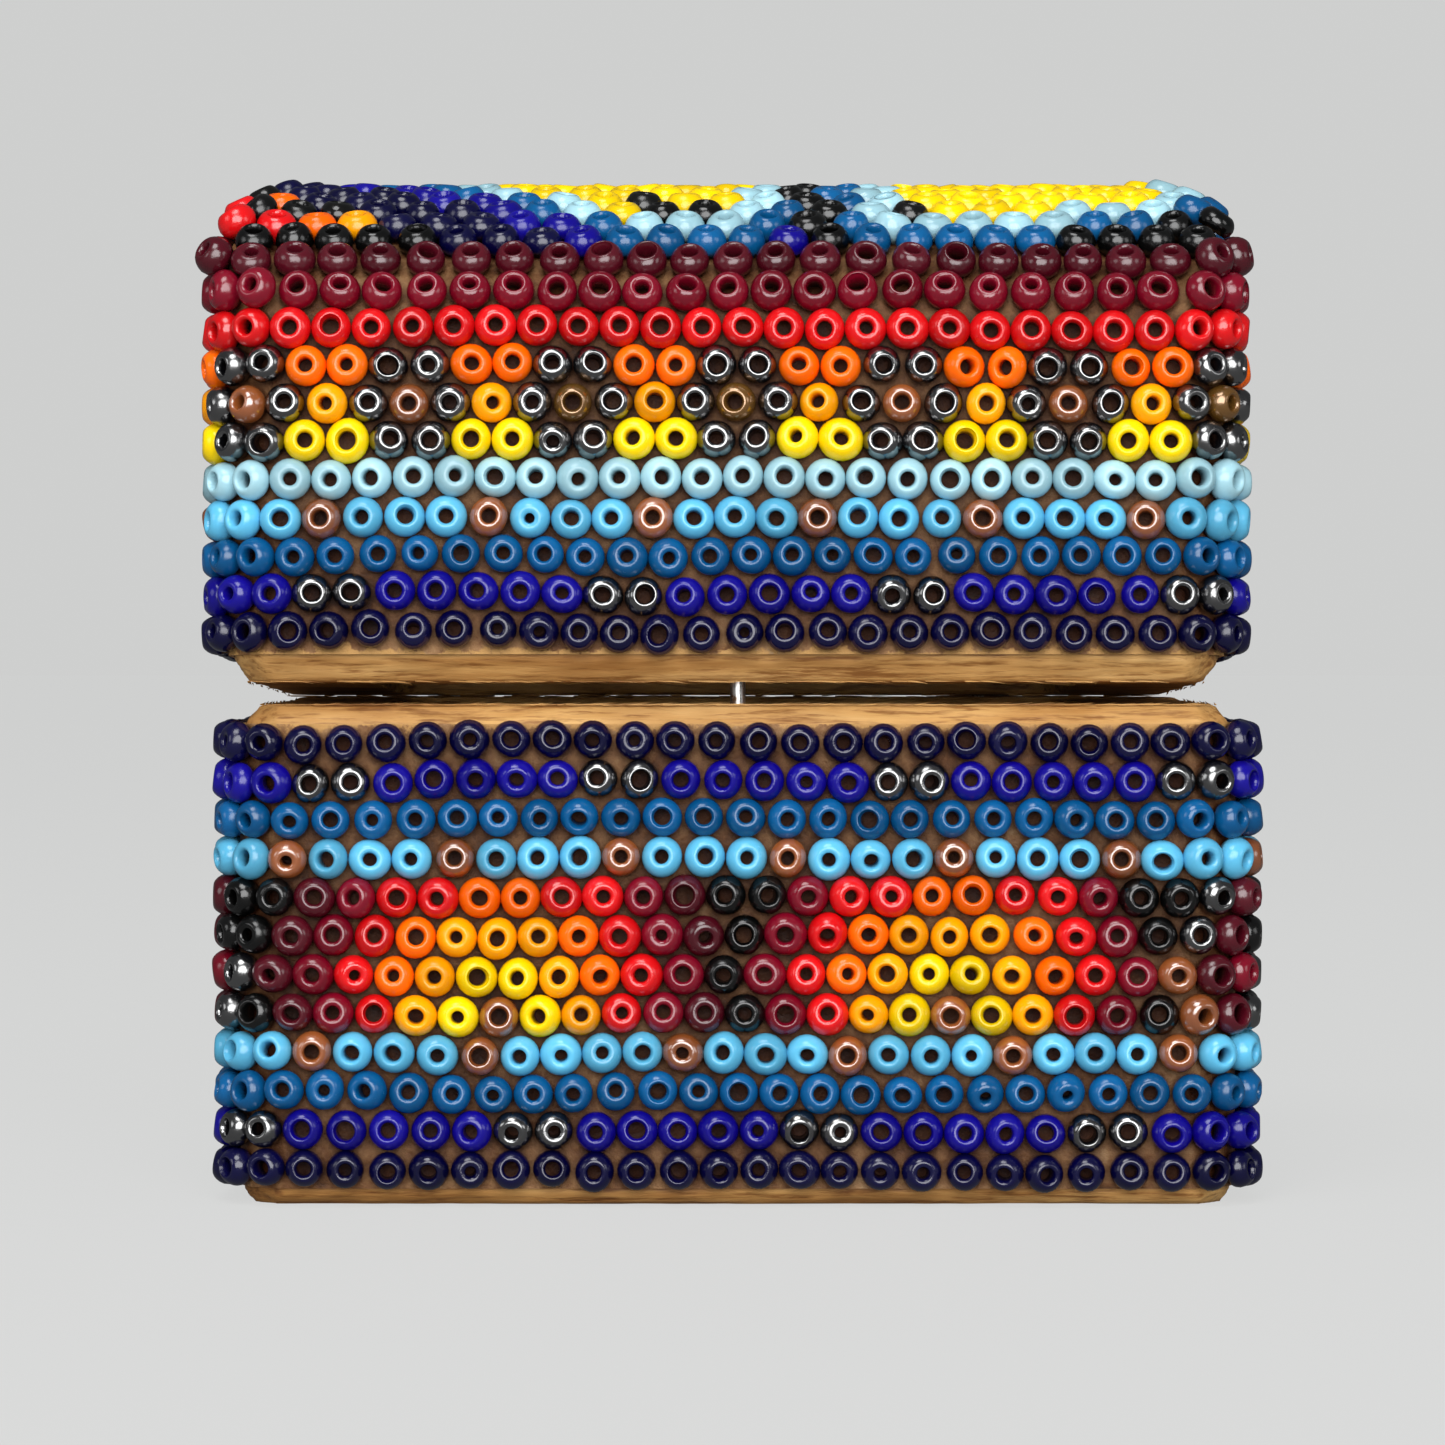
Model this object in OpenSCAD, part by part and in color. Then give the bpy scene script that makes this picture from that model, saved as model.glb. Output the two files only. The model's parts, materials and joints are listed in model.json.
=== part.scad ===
/* [Body] */
// Length of the bare wood, left to right
body_length = 51.6; // [40:0.1:80]
// Depth of the bare wood, front to back
body_depth = 31; // [24:0.1:60]
// Radius of the upright wooden corners
corner_radius = 2.8; // [2:0.1:5]
// Height of the wooden base block
base_height = 26; // [14:0.1:40]
// Flat knife cut around the two rims
rim_bevel = 1; // [0.4:0.1:1.4]
// Flat knife cut around the underside
foot_bevel = 0.6; // [0.2:0.1:0.8]

/* [Lid] */
// Height of the lid wood at which the front starts to round over
shoulder_height = 18.1; // [10:0.1:24]
// Radius of the rounded front and back shoulders
shoulder_radius = 4.6; // [3:0.1:8]
// Slope at which the shoulder runs into the vaulted top
vault_slope = 32; // [15:1:40]
// Radius of the rounded edge at the two gable ends
gable_radius = 3.8; // [2:0.1:6]
// How far the lid sits to the right of the base (less than 0: to the left)
lid_offset = -0.6; // [-0.6:0.1:0.6]

/* [Hollow] */
// Thickness of the front and back walls
wall_front = 5; // [3:0.1:8]
// Thickness of the two end walls
wall_end = 7.3; // [3:0.1:12]
// Thickness of the floor
floor_thickness = 4; // [2:0.1:8]
// Depth of the hollow in the lid
lid_hollow = 11; // [4:0.1:16]

/* [Beads] */
// Outer diameter of a glass seed bead
bead_diameter = 1.88; // [1.5:0.01:2.2]
// Length of a bead along its hole
bead_length = 1.25; // [0.9:0.05:1.5]
// Diameter of the hole
bead_hole = 0.7; // [0.5:0.05:0.9]
// Spacing of the rows up the sides
row_pitch = 1.982; // [1.9:0.001:2.4]
// Thickness of the wax that holds the beads
wax_thickness = 0.2; // [0.1:0.05:0.5]

/* [Hardware] */
// Angle by which the lid stands ajar
ajar_angle = 2; // [0:0.5:20]
// Gap left between the two rims when the lid is shut
rim_gap = 0.1; // [0.05:0.05:0.5]
// Diameter of the hinge wire
wire_diameter = 0.5; // [0.4:0.05:0.8]
// Distance of each hinge from the middle
hinge_offset = 15; // [8:0.5:20]
// Diameter of the nail that keys the lid to the base
nail_diameter = 0.8; // [0.6:0.05:1.2]

/* [Hidden] */
$fa = 4;
$fs = 0.15;

air = 0.05;
// The rim bevels are cut a little narrower than high in the base, and steeper still in the lid.
base_bevel_width = rim_bevel * 0.9;
lid_bevel_height = rim_bevel * 1.2;
half_length = body_length / 2;
half_depth = body_depth / 2;
wax_face = air + wax_thickness;
bead_seat = wax_face + air + bead_length / 2;
bead_clear = bead_diameter + air;
bead_shoulder = 0.7;
bead_belly = 0.32;

// Plan outline of the body, grown outwards by grow.
module plan_outline(grow) {
  r = corner_radius + grow;
  x = half_length - corner_radius;
  y = half_depth - corner_radius;
  square([2 * x, 2 * (y + r)], center = true);
  square([2 * (x + r), 2 * y], center = true);
  for (sx = [-1, 1], sy = [-1, 1]) translate([sx * x, sy * y]) circle(r);
}

// Vaulted section of the lid, seen from its end.
vault_tangent = half_depth - shoulder_radius + shoulder_radius * sin(vault_slope);
vault_radius = vault_tangent / sin(vault_slope);
vault_centre = shoulder_height + (shoulder_radius - vault_radius) * cos(vault_slope);
crown_height = vault_centre + vault_radius;
gable_height = crown_height - gable_radius;
tall = 2 * crown_height;

module vault_section(grow) {
  half = half_depth + grow;
  tangent = half_depth - shoulder_radius + (shoulder_radius + grow) * sin(vault_slope);
  translate([-half, -tall]) square([2 * half, tall + shoulder_height]);
  for (s = [-1, 1]) intersection() {
    translate([s * (half_depth - shoulder_radius), shoulder_height]) circle(shoulder_radius + grow);
    translate([s > 0 ? tangent : -half, shoulder_height]) square([half - tangent, tall]);
  }
  intersection() {
    translate([0, vault_centre]) circle(vault_radius + grow);
    translate([-tangent, shoulder_height]) square([2 * tangent, tall]);
  }
}

// Section of the lid seen from the front: upright ends and a rounded gable edge.
module gable_section(grow) {
  half = half_length + grow;
  inner = half_length - gable_radius;
  translate([-half, -tall]) square([2 * half, tall + gable_height]);
  translate([-inner, 0]) square([2 * inner, crown_height + grow]);
  for (s = [-1, 1]) translate([s * inner, gable_height]) circle(gable_radius + grow);
}

// Outside of the lid with its rim at z = 0, grown outwards by grow.
module lid_form(grow) {
  intersection() {
    linear_extrude(tall) plan_outline(grow);
    rotate([90, 0, 90]) linear_extrude(2 * body_length, center = true) vault_section(grow);
    rotate([90, 0, 0]) linear_extrude(2 * body_depth, center = true) gable_section(grow);
  }
}

// Eight flat knife cuts around an edge that lies in the plane z = 0 with the wood above it.
module edge_cuts(width, height) {
  slope = atan2(height, width);
  corner_reach = norm([half_length, half_depth]);
  for (turn = [0 : 45 : 315]) {
    diagonal = turn % 90 == 45;
    out = [cos(turn), sin(turn)];
    reach = diagonal
      ? ((half_length - corner_radius) + (half_depth - corner_radius)) * cos(45) + corner_radius
      : abs(out[0]) * half_length + abs(out[1]) * half_depth;
    rotate([0, 0, turn]) translate([reach - width, 0, 0]) rotate([0, 90 - slope, 0])
      translate([0, -corner_reach, -height]) cube([2 * width, 2 * corner_reach, 4 * height]);
  }
}

module hollow(depth) {
  hollow_radius = 2;
  x = half_length - wall_end - hollow_radius;
  y = half_depth - wall_front - hollow_radius;
  linear_extrude(depth) {
    square([2 * x, 2 * (y + hollow_radius)], center = true);
    square([2 * (x + hollow_radius), 2 * y], center = true);
    for (sx = [-1, 1], sy = [-1, 1]) translate([sx * x, sy * y]) circle(hollow_radius);
  }
}

// Hinge line, nail and wire holes, in the frame of the shut box.
hinge_y = half_depth + 0.75;
hinge_z = base_height + rim_gap / 2;
nail_y = -(half_depth - wall_front / 2);
nail_proud = 2.2;
nail_sunk = 7;
nail_hole_depth = 4;
shank_depth = 6.5;
staple_half = 1.4;
lid_z = base_height + rim_gap;

module at_hinges() {
  for (s = [-1, 1]) translate([s * hinge_offset, hinge_y, hinge_z]) children();
}

// Turns a part drawn in the frame of the shut box to where the lid stands ajar, off to one side.
module ajar() {
  translate([lid_offset, hinge_y, hinge_z]) rotate([-ajar_angle, 0, 0]) translate([0, -hinge_y, -hinge_z])
    children();
}

module base_block() {
  color("burlywood") difference() {
    linear_extrude(base_height) plan_outline(0);
    edge_cuts(foot_bevel, foot_bevel);
    translate([0, 0, base_height]) mirror([0, 0, 1]) edge_cuts(base_bevel_width, rim_bevel);
    translate([0, 0, floor_thickness]) hollow(base_height);
    translate([0, nail_y, base_height - nail_sunk - air]) cylinder(h = nail_sunk + 1, r = nail_diameter / 2 + air);
    at_hinges() rotate([135, 0, 0]) cylinder(h = shank_depth + air, r = wire_diameter / 2 + air);
  }
}

module lid_block() {
  color("burlywood") ajar() {
    difference() {
      translate([0, 0, lid_z]) difference() {
        lid_form(0);
        edge_cuts(base_bevel_width, lid_bevel_height);
        translate([0, 0, -1]) hollow(lid_hollow + 1);
        translate([-lid_offset, nail_y, -1]) cylinder(h = nail_hole_depth + 1, r = nail_diameter);
      }
      at_hinges() for (s = [-1, 1]) translate([s * staple_half, 0, 0]) rotate([45, 0, 0])
        cylinder(h = shank_depth + air, r = wire_diameter / 2 + air);
    }
  }
}

module base_wax() {
  wax_low = foot_bevel + 0.3;
  wax_high = base_height - rim_bevel;
  color("peru") translate([0, 0, wax_low]) linear_extrude(wax_high - wax_low) difference() {
    plan_outline(wax_face);
    plan_outline(air);
  }
}

module lid_wax() {
  wax_low = lid_bevel_height + 0.2;
  color("peru") ajar() translate([0, 0, lid_z]) difference() {
    lid_form(wax_face);
    lid_form(air);
    translate([-body_length, -body_depth, -1]) cube([2 * body_length, 2 * body_depth, wax_low + 1]);
  }
}

module closure_nail() {
  nail_point = 1;
  color("silver") translate([0, nail_y, base_height - nail_sunk]) {
    cylinder(h = nail_point, r1 = nail_diameter / 8, r2 = nail_diameter / 2);
    translate([0, 0, nail_point]) cylinder(h = nail_sunk + nail_proud - nail_point, r = nail_diameter / 2);
  }
}

// Screw-eye bent from wire: a ring around the hinge line and a shank into the base's bevel.
module hinge_eyes() {
  wire = wire_diameter / 2;
  play = 0.15;
  ring = 2 * wire + play;
  color("silver") at_hinges() {
    rotate([0, 90, 0]) rotate_extrude() translate([ring, 0]) circle(wire);
    rotate([135, 0, 0]) translate([0, 0, ring]) cylinder(h = shank_depth - ring, r = wire);
  }
}

// U-shaped staple: its bar runs along the hinge line through the eye, its legs go into the lid's bevel.
module hinge_staples() {
  wire = wire_diameter / 2;
  color("silver") ajar() at_hinges() {
    translate([-staple_half, 0, 0]) rotate([0, 90, 0]) cylinder(h = 2 * staple_half, r = wire);
    for (s = [-1, 1]) translate([s * staple_half, 0, 0]) {
      sphere(wire);
      rotate([45, 0, 0]) cylinder(h = shank_depth, r = wire);
    }
  }
}

// ---- Bead rows ----
// A bead is [position, axis, colour letter].
ring_x = half_length + bead_seat;
ring_y = half_depth + bead_seat;
ring_radius = corner_radius + bead_seat;
shoulder_seat = shoulder_radius + bead_seat;
vault_seat = vault_radius + bead_seat;
gable_seat = gable_radius + bead_seat;
gable_x = half_length - gable_radius;

function unit(v) = v / norm(v);

// Quarter of a ring from the middle of the front to the middle of the right side.
// The front stands back by inset and leans by lean; up is what the row climbs at the side.
function corner_start(inset) = acos((ring_radius - inset) / ring_radius);
function front_run(inset) = ring_x - ring_radius + ring_radius * sin(corner_start(inset));
function corner_run(inset) = ring_radius * (90 - corner_start(inset)) * PI / 180;
function quarter_run(inset) = front_run(inset) + corner_run(inset) + ring_y - ring_radius;
function quarter_point(t, inset, lean, up) =
  let (a = front_run(inset), b = a + corner_run(inset), start = corner_start(inset))
  t < a ? [[t, inset - ring_y, 0], [0, -cos(lean), sin(lean)]]
  : t < b
    ? let (psi = start + (t - a) / ring_radius * 180 / PI)
      [[ring_x - ring_radius + ring_radius * sin(psi), ring_radius - ring_y - ring_radius * cos(psi),
        up * (psi - start) / (90 - start)], [sin(psi), -cos(psi), 0]]
    : [[ring_x, ring_radius - ring_y + t - b, up], [1, 0, 0]];

// Point and outward normal at distance s along the whole ring, starting in front and going right.
function ring_point(s, inset, lean, up) =
  let (q = quarter_run(inset), wrapped = s - 4 * q * floor(s / (4 * q)), k = floor(wrapped / q),
       t = k % 2 == 0 ? wrapped - k * q : (k + 1) * q - wrapped, p = quarter_point(t, inset, lean, up),
       sx = k < 2 ? 1 : -1, sy = k == 0 || k == 3 ? 1 : -1)
  [for (v = p) [v[0] * sx, v[1] * sy, v[2]]];

// Lets a bead near an edge lean between both faces and lifts it clear of the wax.
function settled(here, before, after) =
  let (axis = unit(before[1] + after[1]), lean = acos(min(1, axis * here[1])),
       lift = bead_length / 2 * (cos(lean) - 1) + bead_shoulder * sin(lean))
  [here[0] + max(0, lift) * here[1], axis];

// Distance over which a bead near an edge takes its lean, and how much the top ring climbs extra.
corner_reach = 1.1;
ring_climb = 0.2;

// Letter of bead i, counted from the middle of the front to both sides, so any break is at the back.
function ring_letter(i, count, motif, shift) =
  motif[((i < count / 2 ? i : i - count) + shift + count * len(motif)) % len(motif)];

function ring(count, phase, z, inset, lean, up, motif, shift) =
  let (step = 4 * quarter_run(inset) / count, reach = inset > 0 ? corner_reach : 0)
  [for (i = [0 : count - 1])
    let (s = (i + phase) * step, here = ring_point(s, inset, lean, up),
         p = settled(here, ring_point(s - reach, inset, lean, up), ring_point(s + reach, inset, lean, up)))
    [p[0] + [0, 0, z], p[1], ring_letter(i, count, motif, shift)]];

module place(b) {
  tilt = acos(b[1][2]);
  turn = atan2(b[1][1], b[1][0]);
  translate(b[0]) rotate([0, tilt, turn]) bead();
}

module bead() {
  rotate_extrude() polygon([
    [bead_hole / 2, -bead_belly], [bead_shoulder * 0.75, -bead_length / 2], [bead_diameter / 2, -bead_belly],
    [bead_diameter / 2, bead_belly], [bead_shoulder * 0.75, bead_length / 2], [bead_hole / 2, bead_belly]]);
}

// Letters: N navy, C cobalt, S steel blue, K sky, P pale, Y yellow, A amber, O orange, R red,
// G burgundy, M maroon, B black, H hematite, U copper, D gold.
base_first = 1.9;
base_pitch = (base_height - 2 * base_first) / 11;
sun_outer = "BGRROORRGBBHMBBMGRROORRGMB";
sun_upper = "BGROAAAORGBHMBBMGROAAAORGM";
sun_middle = "GROAYYAORGUMGHMGROAYYAORGB";
sun_lower = "BGRAYUYARGBUMHBMGRAYUYARGM";
spotted = "KKUKKKUKKKUKKKKUKKKUKKKKUK";

// Rows of the base, from the lowest up: number of beads, phase, colour motif and shift.
base_rows = [
  [78, 0.5, "N", 0],
  [78, 0.5, "CCCCCHH", 4],
  [78, 0.0, "S", 0],
  [78, 0.68, spotted, 0],
  [78, 0.19, sun_lower, 0],
  [78, 0.68, sun_middle, 0],
  [78, 0.19, sun_upper, 0],
  [78, 0.74, sun_outer, 0],
  [77, 0.2, "KKKU", 2],
  [78, 0.17, "S", 0],
  [78, 0.62, "CCCCCHH", 2],
  [78, 0.5, "N", 0]];

// Rows of the upright part of the lid, from the rim up.
lid_first = 2.5;
lid_rows = [
  [78, 0.42, "N", 0],
  [78, 0.0, "CCCCCHH", 1],
  [78, 0.58, "S", 0],
  [78, 0.22, "KKKU", 1],
  [78, 0.42, "P", 0],
  [78, 0.79, "YYHH", 3],
  [78, 0.3, "DHAHUHAHUHAHDHAH", 0],
  [78, 0.79, "OOHH", 3],
  [78, 0.4, "R", 0]];

base_ring_beads = [for (k = [0 : 11]) let (r = base_rows[k])
  each ring(r[0], r[1], base_first + k * base_pitch, 0, 0, 0, r[2], r[3])];

function shoulder_lean(s) = s / shoulder_seat * 180 / PI;
function shoulder_ring(k, count, phase, letter) =
  let (s = lid_first + k * row_pitch - shoulder_height, lean = shoulder_lean(s),
       z = shoulder_height + shoulder_seat * sin(lean))
  ring(count, phase, z, shoulder_seat * (1 - cos(lean)), lean,
    shoulder_height + s - z + (k > 9 ? ring_climb : 0), letter, 0);

lid_side_beads = [for (k = [0 : 8]) let (r = lid_rows[k])
  each ring(r[0], r[1], lid_first + k * row_pitch, 0, 0, 0, r[2], r[3])];
shoulder_low = shoulder_ring(9, 74, 0.06, "G");
shoulder_high = shoulder_ring(10, 72, 0.15, "M");

// Rows across the vault, parallel to the front, from the front shoulder to the back one.
vault_rows = 15;
shoulder_arc = shoulder_seat * (90 - vault_slope) * PI / 180;
vault_half_arc = shoulder_arc + vault_seat * vault_slope * PI / 180;
vault_start = lid_first + 10 * row_pitch - shoulder_height;
vault_pitch = 2 * (vault_half_arc - vault_start) / (vault_rows + 1);
across_pitch = 2.15;

// Position in depth, height and slope of the vault at distance s from the start of the front shoulder.
function vault_front(s) = s < shoulder_arc
  ? let (lean = shoulder_lean(s))
    [-ring_y + shoulder_seat * (1 - cos(lean)), shoulder_height + shoulder_seat * sin(lean), lean]
  : let (lean = 90 - vault_slope + (s - shoulder_arc) / vault_seat * 180 / PI)
    [-vault_seat * cos(lean), vault_centre + vault_seat * sin(lean), lean];
function vault_at(s) = s <= vault_half_arc ? vault_front(s)
  : let (p = vault_front(2 * vault_half_arc - s)) [-p[0], p[1], 180 - p[2]];

// Point and normal at distance s from the middle of a vault row: level, then down over the gable edge.
function row_point(s, v) =
  let (side = s < 0 ? -1 : 1, cover = min(1, max(0, (v[1] - gable_height) / gable_seat)),
       start = asin(sqrt(1 - cover * cover)), level = gable_x + gable_seat * sin(start),
       over = start + (abs(s) - level) / gable_seat * 180 / PI)
  abs(s) < level ? [[s, v[0], v[1]], [0, -cos(v[2]), sin(v[2])]]
  : over < 90 ? [[side * (gable_x + gable_seat * sin(over)), v[0], gable_height + gable_seat * cos(over)],
                 [side * sin(over), 0, cos(over)]]
  : [[side * ring_x, v[0], gable_height - gable_seat * (over - 90) * PI / 180], [side, 0, 0]];

function is_clear(p, list, i = 0) = i >= len(list) ? true
  : norm(p - list[i][0]) < bead_clear + 0.02 ? false : is_clear(p, list, i + 1);
function gather(candidates, kept, i = 0) = i >= len(candidates) ? kept
  : gather(candidates, is_clear(candidates[i][0], kept) ? concat(kept, [candidates[i]]) : kept, i + 1);

// Generic motif of the top, by place along a row and number of the row counted from front or back:
// two banded ovals, a black valley between them and a fan of warm bars in the left corners.
valley_x = 4.6;
valley_half = 1.2;
fan_edge = -16.2;
plain_corner = 16.5;

// How far inside the ovals a place lies, in mm; less than 0 is outside.
function left_oval(x, deep) = min(x + deep + 4.5, 0.4 * deep - x - 0.6, deep - 1);
function right_oval(x, deep) = min(x - 6.3, 24.5 - x, deep - 1 - 0.35 * max(0, x - 14));
function band(inside) =
  inside > 2.2 ? "Y" : inside > 0 ? "P" : inside > -2.5 ? "S" : inside > -5.5 ? "C" : "N";
function fan(row, w) = row % 2 == 0 || w > -18.4 ? "B" : w < -22.6 ? "R" : w < -20.6 ? "O" : "A";
function is_mark(x, row) = row == 2 ? abs(x + 3.2) < 2.3 || abs(x - 9.6) < 1
  : row == 3 ? abs(x + 4.4) < 1 || abs(x - 11.2) < 1 : false;
function top_letter(x, row) = let (deep = 2 * row)
  abs(x - valley_x + 0.15 * deep) < valley_half ? "B"
  : x + deep < fan_edge ? fan(row, x + deep / 2)
  : x > plain_corner && right_oval(x, deep) < -2 ? "B"
  : is_mark(x, row) ? "B"
  : band(x < valley_x ? left_oval(x, deep) : right_oval(x, deep));

half_count = 13;
crest_candidates = [for (k = [0 : vault_rows - 1])
  let (v = vault_at(vault_start + (k + 1) * vault_pitch), row = min(k, vault_rows - 1 - k))
  for (i = [-half_count : half_count])
    let (s = (i + ((k + 1) % 2) / 2) * across_pitch, here = row_point(s, v),
         p = settled(here, row_point(s - corner_reach, v), row_point(s + corner_reach, v)))
      if (abs(here[0][1]) < ring_y - 0.4 && here[0][2] > gable_height - 1)
        [p[0], p[1], top_letter(p[0][0] + lid_offset, row)]];
crest_beads = gather(crest_candidates, shoulder_high);
lid_ring_beads = concat(lid_side_beads, shoulder_low, crest_beads);

module base_beads(letter, tint) {
  color(tint) for (b = base_ring_beads) if (b[2] == letter) place(b);
}

module lid_beads(letter, tint) {
  color(tint) ajar() translate([0, 0, lid_z]) for (b = lid_ring_beads) if (b[2] == letter) place(b);
}

base_block();
lid_block();
base_wax();
lid_wax();
closure_nail();
hinge_eyes();
hinge_staples();
base_beads("N", "navy");  // base_beads_navy
base_beads("C", "mediumblue");  // base_beads_cobalt
base_beads("S", "steelblue");  // base_beads_steel
base_beads("K", "skyblue");  // base_beads_sky
base_beads("Y", "gold");  // base_beads_yellow
base_beads("A", "orange");  // base_beads_amber
base_beads("O", "darkorange");  // base_beads_orange
base_beads("R", "red");  // base_beads_red
base_beads("G", "crimson");  // base_beads_burgundy
base_beads("M", "maroon");  // base_beads_maroon
base_beads("B", "black");  // base_beads_black
base_beads("H", "dimgray");  // base_beads_hematite
base_beads("U", "sienna");  // base_beads_copper
lid_beads("N", "navy");  // lid_beads_navy
lid_beads("C", "mediumblue");  // lid_beads_cobalt
lid_beads("S", "steelblue");  // lid_beads_steel
lid_beads("K", "skyblue");  // lid_beads_sky
lid_beads("P", "powderblue");  // lid_beads_pale
lid_beads("Y", "gold");  // lid_beads_yellow
lid_beads("A", "orange");  // lid_beads_amber
lid_beads("O", "darkorange");  // lid_beads_orange
lid_beads("R", "red");  // lid_beads_red
lid_beads("G", "crimson");  // lid_beads_burgundy
lid_beads("M", "maroon");  // lid_beads_maroon
lid_beads("B", "black");  // lid_beads_black
lid_beads("H", "dimgray");  // lid_beads_hematite
lid_beads("U", "sienna");  // lid_beads_copper
lid_beads("D", "goldenrod");  // lid_beads_gold
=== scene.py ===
"""Beaded wooden box: glass seed beads set in wax on a carved, hinged chest. Metres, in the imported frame."""
import json
import math

import bmesh
import bpy
import numpy as np
from mathutils import Matrix, Vector, noise


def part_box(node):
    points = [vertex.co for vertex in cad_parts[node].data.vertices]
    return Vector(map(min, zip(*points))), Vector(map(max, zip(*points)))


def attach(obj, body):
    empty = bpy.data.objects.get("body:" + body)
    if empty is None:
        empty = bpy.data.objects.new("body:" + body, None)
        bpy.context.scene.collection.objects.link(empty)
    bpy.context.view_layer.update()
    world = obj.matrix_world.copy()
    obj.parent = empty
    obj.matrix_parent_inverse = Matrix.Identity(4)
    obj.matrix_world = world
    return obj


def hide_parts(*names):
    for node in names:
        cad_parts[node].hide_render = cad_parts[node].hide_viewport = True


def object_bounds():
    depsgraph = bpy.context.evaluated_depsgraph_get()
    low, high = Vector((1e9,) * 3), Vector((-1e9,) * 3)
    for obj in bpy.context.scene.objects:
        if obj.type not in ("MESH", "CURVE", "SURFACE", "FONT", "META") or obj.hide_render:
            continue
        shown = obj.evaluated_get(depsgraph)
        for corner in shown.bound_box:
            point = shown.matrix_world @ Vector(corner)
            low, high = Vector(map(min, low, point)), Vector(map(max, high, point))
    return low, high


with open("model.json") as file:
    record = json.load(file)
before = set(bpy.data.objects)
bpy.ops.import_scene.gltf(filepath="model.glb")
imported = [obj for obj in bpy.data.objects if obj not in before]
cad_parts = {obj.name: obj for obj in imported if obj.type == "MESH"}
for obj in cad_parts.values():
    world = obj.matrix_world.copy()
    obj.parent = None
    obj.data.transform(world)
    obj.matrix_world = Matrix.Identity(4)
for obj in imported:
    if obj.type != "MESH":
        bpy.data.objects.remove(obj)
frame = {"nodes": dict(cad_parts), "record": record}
CAD_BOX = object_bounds()
MM = 0.001
NODES = frame["nodes"]
LID_HINGE = frame["record"]["behaviour"]["joints"][0]
AJAR = math.radians(2)  # how far the lid stands open at rest
HALVES = ("base", "lid")
rng = np.random.default_rng(11)
noise.seed_set(11)  # without it noise_vector is seeded by the clock

# ---- Glass: bead radius in mm, linear base colour, index of refraction and how metallic it is ----
GLASS = {
    "navy": dict(radius=1.015, colour=(0.0012, 0.001, 0.030), ior=1.55),
    "cobalt": dict(radius=1.055, colour=(0.005, 0.002, 0.21), ior=1.5),
    "steel": dict(radius=1.02, colour=(0.002, 0.085, 0.24), ior=1.5),
    "sky": dict(radius=1.07, colour=(0.10, 0.43, 0.66), ior=1.5),
    "pale": dict(radius=1.075, colour=(0.34, 0.58, 0.66), ior=1.5),
    "yellow": dict(radius=1.1, colour=(0.90, 0.60, 0.0), ior=1.45),
    "amber": dict(radius=1.065, colour=(0.95, 0.34, 0.0), ior=1.45),
    "orange": dict(radius=1.06, colour=(0.95, 0.13, 0.0), ior=1.45),
    "red": dict(radius=1.075, colour=(0.62, 0.004, 0.006), ior=1.6),
    "burgundy": dict(radius=1.085, colour=(0.17, 0.002, 0.013), ior=1.6),
    "maroon": dict(radius=1.075, colour=(0.070, 0.003, 0.009), ior=1.6),
    "black": dict(radius=1.03, colour=(0.002, 0.002, 0.002), ior=1.55),
    "hematite": dict(radius=1.025, colour=(0.002, 0.002, 0.003), ior=2.8),
    "copper": dict(radius=1.04, colour=(0.27, 0.075, 0.018), ior=2.3),
    "gold": dict(radius=1.01, colour=(0.22, 0.10, 0.018), ior=2.4, metallic=0.5),
}

# ---- Shape of one bead ----
HALF_LENGTH = 0.69  # mm
SEGMENTS = 24
# Section of a bead as (radius, height), each as a share of the radius and of the half length.
SECTION = np.array([(0.35, -0.55), (0.35, 0.50), (0.38, 0.80), (0.44, 0.95), (0.52, 1.0), (0.61, 0.965),
                    (0.72, 0.85), (0.84, 0.64), (0.94, 0.36), (1.0, 0.0), (0.97, -0.42), (0.80, -0.90)])
HOLE_EDGE = 0.45  # section points inside this share of the radius follow the hole
# How far beads differ from each other, as a share of the measure.
SIZE_SPREAD = 0.022
LENGTH_SPREAD = 0.05
HOLE_SPREAD = 0.10
OVAL_SPREAD = 0.018
SLANT_SPREAD = 0.045

# ---- How unevenly the beads were set, in mm unless said otherwise ----
WOBBLE = 0.24       # slow drift of whole stretches of a row
DRIFT_SCALE = 0.11  # drifts per mm
SCATTER = 0.07      # each bead on its own
LEAN = 4.5          # degrees
NEIGHBOUR = 3.2     # beads nearer than this may push each other
CLOSENESS = 0.985   # touching beads stand this share of their radii apart
PUSHES = 40
PUSH = 0.45
PULL_HOME = 0.02

# ---- Sizes of the wooden halves that scene.py adds to ----
WALL_END = 7.3 * MM
WALL_FRONT = 5 * MM
BEVEL = 0.9 * MM
HALF_DEPTH = 15.5 * MM
RIM_GAP = 0.1 * MM  # between the two rims when the box is shut
RIM_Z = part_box("base_block")[1][2]


# ---- Reading the beads ----
WELD = 0.002 * MM
RIM_SHARE = 0.94


def solids_of(mesh):
    """Points of each separate solid in a mesh, as one array for each solid."""
    points = np.empty(len(mesh.vertices) * 3)
    mesh.vertices.foreach_get("co", points)
    points = points.reshape(-1, 3)
    # Seams may split a bead's vertices, so weld them by place first.
    key = np.round(points / WELD).astype(np.int64)
    _, first, inverse = np.unique(key, axis=0, return_index=True, return_inverse=True)
    points = points[first]
    edges = np.empty(len(mesh.edges) * 2, dtype=np.int32)
    mesh.edges.foreach_get("vertices", edges)
    start, end = inverse.ravel()[edges.reshape(-1, 2)].T
    # Each point takes the lowest label among its neighbours until nothing changes.
    label = np.arange(len(points))
    settled = False
    while not settled:
        before = label.copy()
        low = np.minimum(label[start], label[end])
        np.minimum.at(label, start, low)
        np.minimum.at(label, end, low)
        label = label[label]
        settled = (label == before).all()
    return [points[label == root] for root in np.unique(label)]


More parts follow.
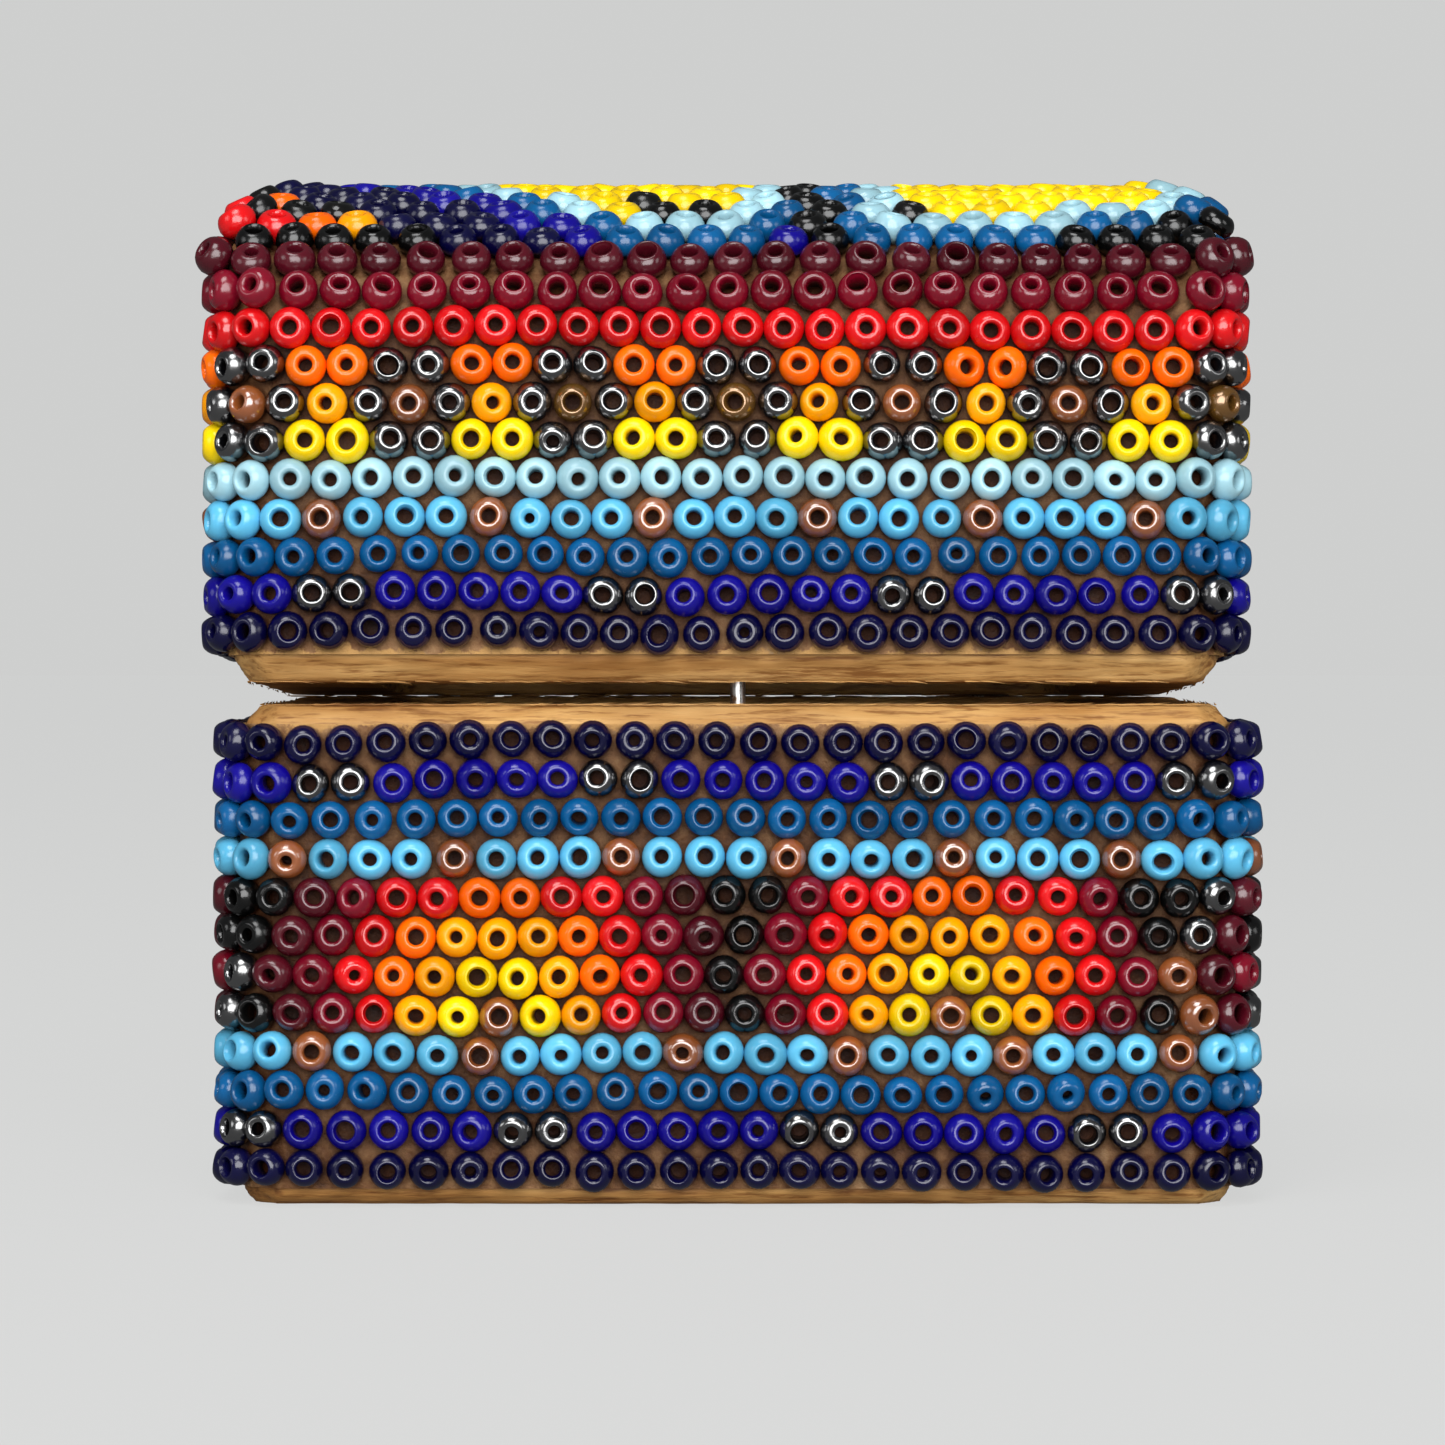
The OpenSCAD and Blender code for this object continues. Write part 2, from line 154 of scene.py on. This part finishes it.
def beads_of(node):
    """Centre and axis of each bead in a CAD node, taken from the widest ring of its points."""
    found = []
    for points in solids_of(NODES[node].data):
        rough_centre = (points.min(0) + points.max(0)) / 2
        far = np.linalg.norm(points - rough_centre, axis=1)
        rim = points[far > RIM_SHARE * far.max()]
        centre = rim.mean(0)
        axis = np.linalg.eigh(np.cov((rim - centre).T))[1][:, 0]
        found.append((centre, axis))
    return found


# ---- Placing the beads: hand-set wobble, then pushed apart where they would overlap ----
def across(vectors, axis):
    """The vectors without their part along the axis of their bead."""
    return vectors - (vectors * axis).sum(1)[:, None] * axis


def drift(half, centre):
    """Slow wandering of the rows, a shift in mm for each bead centre."""
    seed = Vector((3, 7, 1 if half == "lid" else 9))
    return np.array([noise.noise_vector(Vector(c * DRIFT_SCALE) + seed) for c in centre]) * WOBBLE * 2


def pushed_apart(centre, home, axis, radius):
    """Bead centres moved within the surface until neighbours no longer overlap."""
    gap = np.linalg.norm(home[:, None] - home[None], axis=2)
    a, b = np.nonzero(np.triu(gap < NEIGHBOUR, 1))
    for _ in range(PUSHES):
        between = centre[b] - centre[a]
        distance = np.linalg.norm(between, axis=1)
        overlap = np.clip((radius[a] + radius[b]) * CLOSENESS - distance, 0, None)
        push = overlap[:, None] * between / distance[:, None] * PUSH
        move = np.zeros_like(centre)
        np.add.at(move, a, -push)
        np.add.at(move, b, push)
        centre = centre + across(move, axis) + (home - centre) * PULL_HOME
    return centre


def set_by_hand(half):
    """All beads of one half in mm: their nodes, centres, axes and radii, wobbled and pushed apart."""
    nodes, centres, axes, radii = [], [], [], []
    for node in NODES:
        if not node.startswith(half + "_beads_"):
            continue
        for centre, axis in beads_of(node):
            nodes.append(node)
            centres.append(centre / MM)
            axes.append(axis)
            radii.append(GLASS[node.split("_")[-1]]["radius"] * (1 + rng.normal(0, SIZE_SPREAD)))
    home, axis, radius = np.array(centres), np.array(axes), np.array(radii)
    middle = (home.min(0) + home.max(0)) / 2
    axis *= np.where(((home - middle) * axis).sum(1) < 0, -1, 1)[:, None]
    shift = across(drift(half, home) + rng.normal(0, SCATTER, home.shape), axis)
    centre = pushed_apart(home + shift, home, axis, radius)
    axis = axis + across(rng.normal(0, math.radians(LEAN), axis.shape), axis)
    axis /= np.linalg.norm(axis, axis=1)[:, None]
    return dict(node=nodes, centre=centre, axis=axis, radius=radius)


# ---- Meshes ----
def linked(name, mesh):
    obj = bpy.data.objects.new(name, mesh)
    bpy.context.scene.collection.objects.link(obj)
    return obj


def bead_points(centre, axis, radius):
    """Points of one bead in mm, ring by ring along its section, with its own small faults."""
    side = np.cross(axis, [0.31, 0.2, 0.93] if abs(axis[2]) < 0.9 else [1, 0, 0])
    side /= np.linalg.norm(side)
    other_side = np.cross(axis, side)
    half_length = HALF_LENGTH * (1 + rng.normal(0, LENGTH_SPREAD))
    hole = 1 + rng.normal(0, HOLE_SPREAD)
    oval = 1 + rng.normal(0, OVAL_SPREAD)
    start = rng.uniform(0, 2 * math.pi)
    slant = rng.normal(0, SLANT_SPREAD)
    turn = np.arange(SEGMENTS) * 2 * math.pi / SEGMENTS
    share = np.where(SECTION[:, 0] < HOLE_EDGE, SECTION[:, 0] * hole, SECTION[:, 0])
    ring = (np.outer(np.cos(turn + start) * radius * oval, side)
            + np.outer(np.sin(turn + start) * radius / oval, other_side))
    height = SECTION[:, 1][:, None] * half_length * (1 + slant * np.cos(turn)[None])
    return centre + share[:, None, None] * ring[None] + height[..., None] * axis


def bead_mesh(name, beads, pick):
    """One mesh of all the picked beads, each with its own tone in the attribute 'tone'."""
    rows = len(SECTION)
    verts, tone = [], []
    for k in pick:
        verts.append(bead_points(beads["centre"][k], beads["axis"][k], beads["radius"][k]))
        tone.append(np.full(rows * SEGMENTS, rng.uniform(0, 1)))
    verts = np.array(verts).reshape(-1, 3) * MM
    ring, step = np.meshgrid(np.arange(rows), np.arange(SEGMENTS), indexing="ij")
    next_ring, next_step = (ring + 1) % rows, (step + 1) % SEGMENTS
    quads = np.stack([next_ring * SEGMENTS + step, next_ring * SEGMENTS + next_step,
                      ring * SEGMENTS + next_step, ring * SEGMENTS + step], -1).reshape(-1, 4)
    loops = (quads[None] + np.arange(len(pick))[:, None, None] * rows * SEGMENTS).reshape(-1)
    mesh = bpy.data.meshes.new(name)
    mesh.vertices.add(len(verts))
    mesh.vertices.foreach_set("co", verts.ravel())
    mesh.loops.add(len(loops))
    mesh.loops.foreach_set("vertex_index", loops.astype(np.int32))
    mesh.polygons.add(len(loops) // 4)
    mesh.polygons.foreach_set("loop_start", np.arange(len(loops) // 4, dtype=np.int32) * 4)
    mesh.update(calc_edges=True)
    mesh.validate()
    attribute = mesh.attributes.new("tone", "FLOAT", "POINT")
    attribute.data.foreach_set("value", np.concatenate(tone))
    mesh.shade_smooth()
    return linked(name, mesh)


# ---- Materials ----
class Nodes:
    """Short way to build a node tree."""

    def __init__(self, name):
        self.material = bpy.data.materials.new(name)
        self.material.use_nodes = True
        self.tree = self.material.node_tree
        self.shader = self.tree.nodes["Principled BSDF"]

    def add(self, kind, inputs=None, **props):
        node = self.tree.nodes.new("ShaderNode" + kind)
        for key, value in props.items():
            setattr(node, key, value)
        for key, value in (inputs or {}).items():
            self.plug(value, node.inputs[key])
        return node

    def plug(self, value, socket):
        if isinstance(value, bpy.types.NodeSocket):
            self.tree.links.new(value, socket)
        else:
            socket.default_value = value

    def set(self, **values):
        for key, value in values.items():
            self.plug(value, self.shader.inputs[key.replace("_", " ")])

    def place(self):
        return self.add("TexCoord").outputs["Object"]

    def stretched(self, place, scale):
        return self.add("Mapping", {"Vector": place, "Scale": scale}).outputs["Vector"]

    def noise(self, scale, detail=4, rough=0.6, vector=None):
        if vector is None:
            vector = self.place()
        inputs = {"Scale": scale, "Detail": detail, "Roughness": rough, "Vector": vector}
        return self.add("TexNoise", inputs).outputs["Fac"]

    def ramp(self, factor, stops):
        node = self.add("ValToRGB", {"Fac": factor})
        elements = node.color_ramp.elements
        while len(elements) < len(stops):
            elements.new(0.5)
        for element, (place, colour) in zip(elements, stops):
            element.position = place
            element.color = (*colour, 1)
        return node.outputs["Color"]

    def mix(self, first, second, factor, blend="MIX"):
        inputs = {"Color1": first, "Color2": second, "Fac": factor}
        return self.add("MixRGB", inputs, blend_type=blend).outputs["Color"]

    def bump(self, height, distance, strength=1.0, below=None):
        node = self.add("Bump", {"Height": height, "Distance": distance, "Strength": strength})
        if below is not None:
            self.plug(below, node.inputs["Normal"])
        return node.outputs["Normal"]

    def maths(self, operation, a, b=0.0, clamp=False):
        node = self.add("Math", operation=operation, use_clamp=clamp)
        self.plug(a, node.inputs[0])
        self.plug(b, node.inputs[1])
        return node.outputs[0]

    def blend(self, first, second, share):
        """First and second pattern added, the first with the given share."""
        rest = self.maths("MULTIPLY", second, 1 - share)
        return self.maths("ADD", self.maths("MULTIPLY", first, share), rest)

    def roughness(self, pattern, smooth, rough):
        self.set(Roughness=self.ramp(pattern, [(0.3, (smooth,) * 3), (0.7, (rough,) * 3)]))


def glass_material(name, look):
    """Opaque bead glass: each bead has its own tone, with faint swirls and a slightly uneven skin."""
    m = Nodes("bead_" + name)
    colour = np.array(look["colour"])
    tone = m.add("Attribute", attribute_name="tone").outputs["Fac"]
    swirled = m.blend(tone, m.noise(1400, 3), 0.75)
    darker, lighter = colour * 0.72, np.minimum(colour * 1.18 + 0.002, 1)
    m.set(Base_Color=m.ramp(swirled, [(0.1, darker), (0.5, colour), (0.95, lighter)]))
    m.roughness(m.noise(900, 4, 0.7), 0.12, 0.28)
    m.set(IOR=look["ior"], Metallic=look.get("metallic", 0.0))
    m.set(Normal=m.bump(m.noise(2600, 3), 0.00003, 0.5))
    return m.material


def wood_material():
    """Bare knife-cut softwood: grain along the width, darker late wood, fibres and tool marks."""
    m = Nodes("wood")
    place = m.place()
    along = m.stretched(place, (0.09, 1, 1))
    bands = m.noise(520, 5, 0.65, along)
    fibre = m.noise(2600, 4, 0.7, along)
    grain = m.blend(bands, m.noise(160, 3, 0.5, along), 0.6)
    tinted = m.ramp(grain, [(0.34, (0.16, 0.060, 0.014)), (0.44, (0.42, 0.20, 0.052)),
                            (0.55, (0.58, 0.33, 0.11)), (0.70, (0.72, 0.47, 0.20))])
    dirt = m.ramp(m.noise(110, 3, 0.5, place), [(0.30, (0.62, 0.52, 0.42)), (0.55, (1, 1, 1))])
    streaks = m.ramp(fibre, [(0.36, (0.42, 0.30, 0.20)), (0.5, (1, 1, 1))])
    tinted = m.mix(tinted, dirt, 1.0, "MULTIPLY")
    m.set(Base_Color=m.mix(tinted, streaks, 0.9, "MULTIPLY"), IOR=1.4)
    m.roughness(fibre, 0.5, 0.78)
    m.set(Normal=m.bump(fibre, 0.00008, 0.8, m.bump(bands, 0.00015, 0.6)))
    return m.material


WAX_RAGGED = 3.0 * MM    # height of the tongues along the wax's edge
WAX_EDGE = 1.15 * MM     # wood shows through up to about this far from the edge, less the tongues
WAX_SHADE_REACH = 1.3 * MM    # reach of the painted shade in holes and creases under the beads


def edge_distance(m):
    """Height of a point of the wax above or below the nearer rim edge of its own half."""
    place = m.add("SeparateXYZ", {"Vector": m.place()}).outputs
    base_edge, lid_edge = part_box("base_wax")[1][2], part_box("lid_wax")[0][2]
    behind = m.maths("SUBTRACT", place["Y"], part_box("lid_wax")[1][1])
    lid_level = m.maths("ADD", place["Z"], m.maths("MULTIPLY", behind, math.tan(AJAR)))
    to_base = m.maths("ABSOLUTE", m.maths("SUBTRACT", place["Z"], base_edge))
    to_lid = m.maths("ABSOLUTE", m.maths("SUBTRACT", lid_level, lid_edge))
    return m.maths("MINIMUM", to_base, to_lid)


def wax_material():
    """Brown beeswax smeared over wood: cloudy, satin, worn thin to the wood along its ragged edges, with
    painted shade in its holes and creases.
    """
    m = Nodes("wax")
    tongues = m.maths("MULTIPLY", m.noise(420, 5, 0.7), WAX_RAGGED)
    worn = m.maths("SUBTRACT", tongues, m.maths("ADD", edge_distance(m), WAX_EDGE))
    worn = m.maths("MULTIPLY", worn, 6 / MM, clamp=True)
    fine = m.noise(1500, 5, 0.65)
    cloudy = m.blend(m.noise(330, 5, 0.6), fine, 0.6)
    wax = m.ramp(cloudy, [(0.32, (0.07, 0.028, 0.012)), (0.45, (0.20, 0.090, 0.036)),
                          (0.56, (0.33, 0.18, 0.080)), (0.70, (0.52, 0.35, 0.19))])
    # Painted shade: ambient occlusion darkens the wax where little light gets in, the holes and the creases
    # under the beads.
    occlusion = m.add("AmbientOcclusion", {"Distance": WAX_SHADE_REACH}, samples=6).outputs["AO"]
    painted_shade = m.ramp(occlusion, [(0.18, (0.14, 0.07, 0.05)), (0.60, (1, 1, 1))])
    m.set(Base_Color=m.mix(m.mix(wax, (0.52, 0.29, 0.10, 1), worn), painted_shade, 1.0, "MULTIPLY"))
    m.roughness(fine, 0.38, 0.62)
    m.set(Specular_IOR_Level=0.12, Normal=m.bump(cloudy, 0.0004, 0.9))
    return m.material


def steel_material():
    """Drawn wire: dulled grey steel with scratches along it and a few brown specks."""
    m = Nodes("steel")
    place = m.place()
    scratch = m.noise(3200, 4, 0.7, m.stretched(place, (1, 1, 0.12)))
    specks = m.noise(1900, 3, 0.6, place)
    brown, grey, bright = (0.16, 0.09, 0.05), (0.42, 0.41, 0.39), (0.66, 0.65, 0.63)
    m.set(Base_Color=m.ramp(specks, [(0.34, brown), (0.42, grey), (0.7, bright)]), Metallic=1.0)
    m.roughness(scratch, 0.22, 0.45)
    m.set(Normal=m.bump(scratch, 0.00004, 0.6))
    return m.material


WOOD, WAX, STEEL = wood_material(), wax_material(), steel_material()
GLASSES = {name: glass_material(name, look) for name, look in GLASS.items()}


def finish_piece(obj, material, body, slot, *nodes):
    obj.data.materials.clear()
    obj.data.materials.append(material)
    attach(obj, body)
    if nodes:
        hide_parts(*nodes)


# ---- The glass beads, one mesh in place of each CAD bead node ----
for half in HALVES:
    beads = set_by_hand(half)
    for node in dict.fromkeys(beads["node"]):
        pick = [i for i, name in enumerate(beads["node"]) if name == node]
        glass = node.split("_")[-1]
        obj = bead_mesh(node + ".glass", beads, pick)
        finish_piece(obj, GLASSES[glass], half, "bead_" + glass, node)


# ---- Carved wood: the CAD block, remeshed finely and roughened by the knife ----
VOXEL = 0.3 * MM
KNIFE_DEPTH = 0.16 * MM
LEVEL_SHARE = 0.25      # level faces are cut this much smoother
REAR_WALL = 10.4 * MM   # the rim behind this y is the rear wall's
REAR_LIP = 0.095 * MM   # it stands this much higher, so that no light shows through at the back
RIM_REACH = 0.6 * MM


def knife(p):
    """Height of the cut wood at a point in mm, from -1 to 0.3: long facets with fine torn grain."""
    facet = noise.noise(Vector((p.x * 0.16, p.y * 0.5, p.z * 0.5)))
    torn = noise.noise(Vector((p.x * 0.7, p.y * 2.6, p.z * 2.6)) + Vector((9, 2, 4)))
    return max(-1.0, min(0.3, 0.8 * facet + 0.5 * torn - 0.25))


def remeshed(source, name):
    """A finely and evenly meshed copy of a CAD node."""
    obj = linked(name, source.data.copy())
    obj.matrix_world = source.matrix_world
    modifier = obj.modifiers.new("Remesh", "REMESH")
    modifier.mode = "VOXEL"
    modifier.voxel_size = VOXEL
    evaluated = obj.evaluated_get(bpy.context.evaluated_depsgraph_get())
    mesh = bpy.data.meshes.new_from_object(evaluated)
    obj.modifiers.clear()
    obj.data = mesh
    return obj


def carved(half):
    node = half + "_block"
    obj = remeshed(NODES[node], node + ".carved")
    mesh = obj.data
    mesh.shade_smooth()
    points = np.empty(len(mesh.vertices) * 3)
    normal = np.empty_like(points)
    mesh.vertices.foreach_get("co", points)
    mesh.vertices.foreach_get("normal", normal)
    points, normal = points.reshape(-1, 3), normal.reshape(-1, 3)
    level = np.abs(normal[:, 2]) > 0.8
    rear_rim = level & (points[:, 1] > REAR_WALL) & (np.abs(points[:, 2] - RIM_Z) < RIM_REACH)
    cut = np.array([knife(Vector(p) / MM) for p in points]) * KNIFE_DEPTH * np.where(level, LEVEL_SHARE, 1.0)
    cut[rear_rim] = REAR_LIP if half == "base" else 0
    points += normal * cut[:, None]
    mesh.vertices.foreach_set("co", points.ravel())
    mesh.update()
    return obj


for half in HALVES:
    finish_piece(carved(half), WOOD, half, "wood", half + "_block")
for node, material in (("closure_nail", STEEL), ("hinge_eyes", STEEL), ("hinge_staples", STEEL),
                       ("base_wax", WAX), ("lid_wax", WAX)):
    NODES[node].data.materials.clear()
    NODES[node].data.materials.append(material)


# ---- Torn fibres along the cut rims, thickest at the back where the halves bear on each other ----
FIBRES = {"base": 600, "lid": 320}
FIBRE_STEPS = 5
INNER_SHARE = 0.35    # of the fibres hang over the hollow's edge
FRONT_SHARE = 0.8     # of the fibres that aren't at the back lie along the front, the rest at the ends
SUNK = 0.03 * MM      # how deep a fibre's middle starts in the wood
OVERHANG = 0.06 * MM


def fibre_root(half, back):
    """Where a fibre lies on the cut rim: its place, its direction and the way out over the edge."""
    low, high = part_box(half + "_block")
    inner = rng.uniform() < INNER_SHARE
    outward = -1 if inner else 1
    middle_x = (low[0] + high[0]) / 2
    reach_x = (high[0] - low[0]) / 2 - (WALL_END if inner else BEVEL)
    reach_y = HALF_DEPTH - (WALL_FRONT if inner else BEVEL)
    rim_z = RIM_Z + (0 if half == "base" else RIM_GAP)
    if back or rng.uniform() < FRONT_SHARE:
        side = 1 if back else -1
        at = Vector((middle_x + rng.uniform(-reach_x, reach_x) * 0.97, side * reach_y, rim_z))
        return at, Vector((1, 0, 0)), Vector((0, side * outward, 0))
    side = rng.choice([-1, 1])
    at = Vector((middle_x + side * reach_x, rng.uniform(-reach_y, reach_y) * 0.9, rim_z))
    return at, Vector((0, 1, 0)), Vector((side * outward, 0, 0))


def fibre_points(at, along, out, up, back):
    """Corner points of one tapered, curling fibre, four for each step of its length."""
    length = rng.uniform(0.5, 2.2) * MM
    thick = rng.uniform(0.03, 0.07) * MM
    rise = (rng.uniform(0.04, 0.11) if back else rng.uniform(0.0, 0.14)) * MM
    curl = rng.normal(0, 0.25) * 0.3 * MM
    points = []
    for i in range(FIBRE_STEPS + 1):
        t = i / FIBRE_STEPS
        fade = math.sin(math.pi * min(1, 0.12 + t)) ** 0.5 * (1 - 0.6 * t) if t < 1 else 0.1
        lift = rise * (1 if back else t * t) - SUNK
        centre = at + along * length * (t - 0.5) + out * (OVERHANG + curl * t * t) + Vector((0, 0, up)) * lift
        for corner in range(4):
            angle = corner * math.pi / 2 + 0.6
            points.append(centre + (out * math.cos(angle) + Vector((0, 0, math.sin(angle)))) * thick * fade)
    return points


def with_lid(half, point):
    """A point of the shut box, turned with the lid to where it stands ajar."""
    if half == "base":
        return point
    pivot = Vector(LID_HINGE["pos_m"])
    return pivot + Matrix.Rotation(-AJAR, 4, "X") @ (point - pivot)


def fibres(half):
    up = 1 if half == "base" else -1
    verts, faces = [], []
    for k in range(FIBRES[half]):
        back = k % 2 == 0
        first = len(verts)
        verts += [with_lid(half, p) for p in fibre_points(*fibre_root(half, back), up, back)]
        for ring in range(first, first + 4 * FIBRE_STEPS, 4):
            for a in range(4):
                b = (a + 1) % 4
                faces.append((ring + a, ring + b, ring + 4 + b, ring + 4 + a))
        faces.append(tuple(first + a for a in (3, 2, 1, 0)))
        faces.append(tuple(first + FIBRE_STEPS * 4 + a for a in range(4)))
    mesh = bpy.data.meshes.new(half + "_rim_fibres")
    mesh.from_pydata([tuple(v) for v in verts], [], faces)
    mesh.update()
    mesh.shade_smooth()
    return linked(half + "_rim_fibres", mesh)


for half in HALVES:
    finish_piece(fibres(half), WOOD, half, "wood")


# ---- Camera: almost level, with a long lens, a hand's width and a half away ----
DISTANCE = 0.276
LENS = 133.4
PITCH = math.radians(0.9)
AIM = Vector((-0.0008, CAD_BOX[0][1], 0.0251))
camera_data = bpy.data.cameras.new("camera")
camera_data.lens = LENS
camera_data.clip_start = 0.01
camera = linked("camera", camera_data)
camera.location = AIM + Vector((0, -math.cos(PITCH), math.sin(PITCH))) * DISTANCE
camera.rotation_euler = (math.pi / 2 - PITCH, 0, 0)
bpy.context.scene.camera = camera


# ---- Stage and light ----
PALE = (0.62, 0.625, 0.62)   # the floor and the background as the camera sees them
FLOOR_RADIUS = 4.0
FLOOR_GREY = (0.08, 0.08, 0.08)
FLOOR_GLOW = 0.985
BOUNCE = 0.18                # the floor's glow as the glass sees it
ROOM = (0.42, 0.43, 0.44)
ROOM_STRENGTH = 0.25
MIDDLE = (0, 0, 0.027)
# Each softbox: place, diameter in metres and power in watts.
SOFTBOXES = {
    "front_light": ((0.02, -0.60, 0.16), 0.60, 5.8),
    "top_light": ((-0.10, -0.34, 0.62), 0.35, 2.0),
    "left_light": ((-0.60, -0.35, 0.25), 0.30, 0.5),
    "right_light": ((0.60, -0.40, 0.20), 0.30, 0.5),
}


def floor_material():
    """Matt stage colour that glows to the camera, so it stays even, but lights the glass only a little."""
    m = Nodes("floor")
    seen = m.add("LightPath").outputs["Is Camera Ray"]
    m.set(Base_Color=(*FLOOR_GREY, 1), Roughness=0.9, Specular_IOR_Level=0.1, Emission_Color=(*PALE, 1))
    m.set(Emission_Strength=m.maths("ADD", m.maths("MULTIPLY", seen, FLOOR_GLOW - BOUNCE), BOUNCE))
    return m.material


def add_floor():
    disc = bmesh.new()
    bmesh.ops.create_circle(disc, cap_ends=True, segments=64, radius=FLOOR_RADIUS)
    mesh = bpy.data.meshes.new("floor")
    disc.to_mesh(mesh)
    disc.free()
    mesh.materials.append(floor_material())
    floor = linked("floor", mesh)
    floor.location = (0, 0, CAD_BOX[0][2])


def add_world():
    """Pale to the camera, darker in the glass."""
    world = bpy.data.worlds.new("studio")
    world.use_nodes = True
    tree = world.node_tree
    pale = tree.nodes["Background"]
    pale.inputs["Color"].default_value = (*PALE, 1)
    pale.inputs["Strength"].default_value = 1.0
    room = tree.nodes.new("ShaderNodeBackground")
    room.inputs["Color"].default_value = (*ROOM, 1)
    room.inputs["Strength"].default_value = ROOM_STRENGTH
    rays = tree.nodes.new("ShaderNodeLightPath")
    mix = tree.nodes.new("ShaderNodeMixShader")
    tree.links.new(rays.outputs["Is Camera Ray"], mix.inputs["Fac"])
    tree.links.new(room.outputs[0], mix.inputs[1])
    tree.links.new(pale.outputs[0], mix.inputs[2])
    tree.links.new(mix.outputs[0], tree.nodes["World Output"].inputs["Surface"])
    bpy.context.scene.world = world


def add_softbox(name, place, size, power):
    data = bpy.data.lights.new(name, "AREA")
    data.shape = "DISK"
    data.size = size
    data.energy = power
    lamp = linked(name, data)
    lamp.location = place
    lamp.rotation_euler = (Vector(MIDDLE) - Vector(place)).to_track_quat("-Z", "Y").to_euler()


add_floor()
add_world()
for name, (place, size, power) in SOFTBOXES.items():
    add_softbox(name, place, size, power)
bpy.context.scene.view_settings.view_transform = "Standard"
